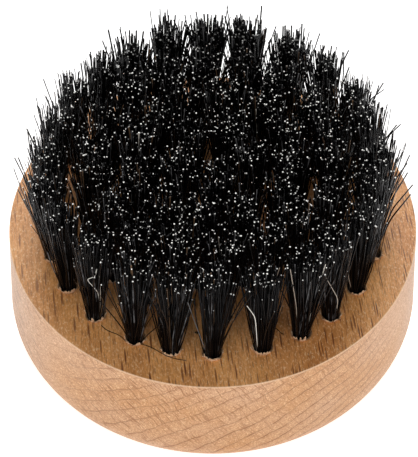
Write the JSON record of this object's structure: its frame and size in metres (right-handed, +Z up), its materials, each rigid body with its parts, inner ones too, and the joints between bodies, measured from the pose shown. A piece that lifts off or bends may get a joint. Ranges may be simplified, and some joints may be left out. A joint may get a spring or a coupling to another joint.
{
  "type": "beard brush",
  "caption": "Palm-sized round beard brush: a turned beech base, held in the hand, with concentric rings of black boar-bristle tufts standing from its drilled face.",
  "frame": {"origin": "centre of the base's flat underside", "axes": "+Z up from the underside through the bristles; the wood's grain runs along Y, and -Y is the front"},
  "size_m": [0.07, 0.07, 0.0387],
  "materials": {
    "beech": "satin",
    "bristle": "satin",
    "anchor_wire": "satin"
  },
  "bodies": {
    "root": {"wooden_base": "beech", "tuft_outer_01": "bristle", "tuft_outer_02": "bristle", "tuft_outer_03": "bristle", "tuft_outer_04": "bristle", "tuft_outer_05": "bristle", "tuft_outer_06": "bristle", "tuft_outer_07": "bristle", "tuft_outer_08": "bristle", "tuft_outer_09": "bristle", "tuft_outer_10": "bristle", "tuft_outer_11": "bristle", "tuft_outer_12": "bristle", "tuft_outer_13": "bristle", "tuft_outer_14": "bristle", "tuft_outer_15": "bristle", "tuft_outer_16": "bristle", "tuft_outer_17": "bristle", "tuft_outer_18": "bristle", "tuft_outer_19": "bristle", "tuft_outer_20": "bristle", "tuft_outer_21": "bristle", "tuft_outer_22": "bristle", "tuft_outer_23": "bristle", "tuft_outer_24": "bristle", "tuft_second_01": "bristle", "tuft_second_02": "bristle", "tuft_second_03": "bristle", "tuft_second_04": "bristle", "tuft_second_05": "bristle", "tuft_second_06": "bristle", "tuft_second_07": "bristle", "tuft_second_08": "bristle", "tuft_second_09": "bristle", "tuft_second_10": "bristle", "tuft_second_11": "bristle", "tuft_second_12": "bristle", "tuft_second_13": "bristle", "tuft_second_14": "bristle", "tuft_second_15": "bristle", "tuft_second_16": "bristle", "tuft_second_17": "bristle", "tuft_second_18": "bristle", "tuft_third_01": "bristle", "tuft_third_02": "bristle", "tuft_third_03": "bristle", "tuft_third_04": "bristle", "tuft_third_05": "bristle", "tuft_third_06": "bristle", "tuft_third_07": "bristle", "tuft_third_08": "bristle", "tuft_third_09": "bristle", "tuft_third_10": "bristle", "tuft_third_11": "bristle", "tuft_third_12": "bristle", "tuft_inner_01": "bristle", "tuft_inner_02": "bristle", "tuft_inner_03": "bristle", "tuft_inner_04": "bristle", "tuft_inner_05": "bristle"}
  },
  "joints": []
}
